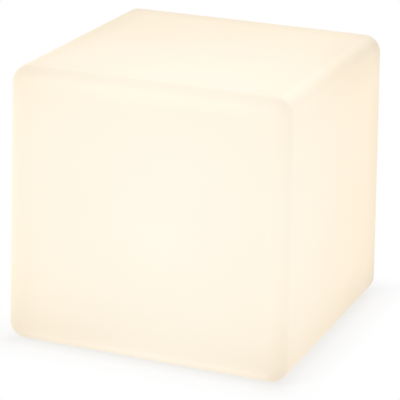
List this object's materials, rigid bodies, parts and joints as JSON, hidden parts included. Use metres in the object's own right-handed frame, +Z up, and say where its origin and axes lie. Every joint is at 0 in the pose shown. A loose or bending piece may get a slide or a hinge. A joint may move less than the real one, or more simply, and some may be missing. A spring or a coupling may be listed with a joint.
{
  "type": "led cube light",
  "caption": "Glowing rounded cube light for garden or patio: translucent moulded shell over a sealed rechargeable lamp module set into its underside.",
  "frame": {"origin": "centre of the footprint at the ground, under the feet", "axes": "+Z up, -Y out of the front face, +X to the right seen from the front"},
  "size_m": [0.3992, 0.3992, 0.382],
  "materials": {
    "shell_plastic": "satin translucent polyethylene, lit warm white from inside",
    "foot_rubber": "matt pale grey elastomer",
    "insert_brass": "knurled brass",
    "base_plastic": "fine textured off-white moulding",
    "seal_rubber": "matt silicone",
    "screw_steel": "plain stainless",
    "spreader_aluminium": "milled sheet",
    "board_white": "white solder mask",
    "board_green": "green solder mask",
    "led_package": "yellow phosphor in a white package",
    "dome_plastic": "frosted clear",
    "clamp_plastic": "plain moulding",
    "cradle_plastic": "black moulding",
    "cell_wrap": "shrink sleeve",
    "strap_steel": "pressed sheet",
    "chip_black": "moulded package",
    "connector_white": "nylon",
    "button_plastic": "satin grey",
    "plunger_plastic": "acetal",
    "switch_black": "moulded case",
    "socket_black": "moulded case",
    "socket_metal": "nickel plated",
    "cover_rubber": "soft grey silicone",
    "window_clear": "clear light guide",
    "vent_plastic": "grey moulding",
    "vent_film": "white membrane film",
    "lead_red": "silicone sleeve",
    "lead_black": "silicone sleeve"
  },
  "bodies": {
    "housing": {"cube_shell": "shell_plastic", "foot_front_left": "foot_rubber", "foot_front_right": "foot_rubber", "foot_back_left": "foot_rubber", "foot_back_right": "foot_rubber", "threaded_inserts": "insert_brass", "lamp_base": "base_plastic", "flange_gasket": "seal_rubber", "dome_seal": "seal_rubber", "button_seal": "seal_rubber", "flange_screws": "screw_steel", "clamp_ring_screws": "screw_steel", "led_board_screws": "screw_steel", "battery_strap_screws": "screw_steel", "board_screws": "screw_steel", "retainer_screws": "screw_steel", "heat_spreader": "spreader_aluminium", "led_board": "board_white", "control_board": "board_green", "battery_guard_board": "board_green", "led_chips": "led_package", "indicator_led": "led_package", "light_dome": "dome_plastic", "dome_clamp_ring": "clamp_plastic", "button_retainer": "clamp_plastic", "battery_cradle": "cradle_plastic", "battery_cell_front": "cell_wrap", "battery_cell_rear": "cell_wrap", "battery_strap": "strap_steel", "controller_chip": "chip_black", "charge_inductor": "chip_black", "remote_receiver": "chip_black", "smoothing_capacitor": "chip_black", "battery_connector": "connector_white", "led_connector": "connector_white", "tact_switch": "switch_black", "charge_socket": "socket_black", "socket_pin": "socket_metal", "socket_nut": "socket_metal", "socket_washer": "socket_metal", "port_cover_anchor": "cover_rubber", "indicator_window": "window_clear", "pressure_vent": "vent_plastic", "vent_membrane": "vent_film", "battery_lead_red": "lead_red", "led_lead_red": "lead_red", "socket_lead_red": "lead_red", "battery_lead_black": "lead_black", "led_lead_black": "lead_black", "socket_lead_black": "lead_black"},
    "button": {"power_button": "button_plastic", "switch_plunger": "plunger_plastic"},
    "cover": {"port_cover": "cover_rubber"}
  },
  "joints": [
    {"name": "power_button_press", "type": "slide", "parent": "housing", "child": "button", "axis": [0, 0, 1], "range_m": [0, 0.0008], "stiffness_N_per_m": 3125, "deforming": ["button_seal"]},
    {"name": "port_cover_hinge", "type": "hinge", "parent": "housing", "child": "cover", "pos_m": [0.03601, -0.026, 0.01405], "axis": [0, -1, 0], "range_deg": [0, 110]}
  ]
}
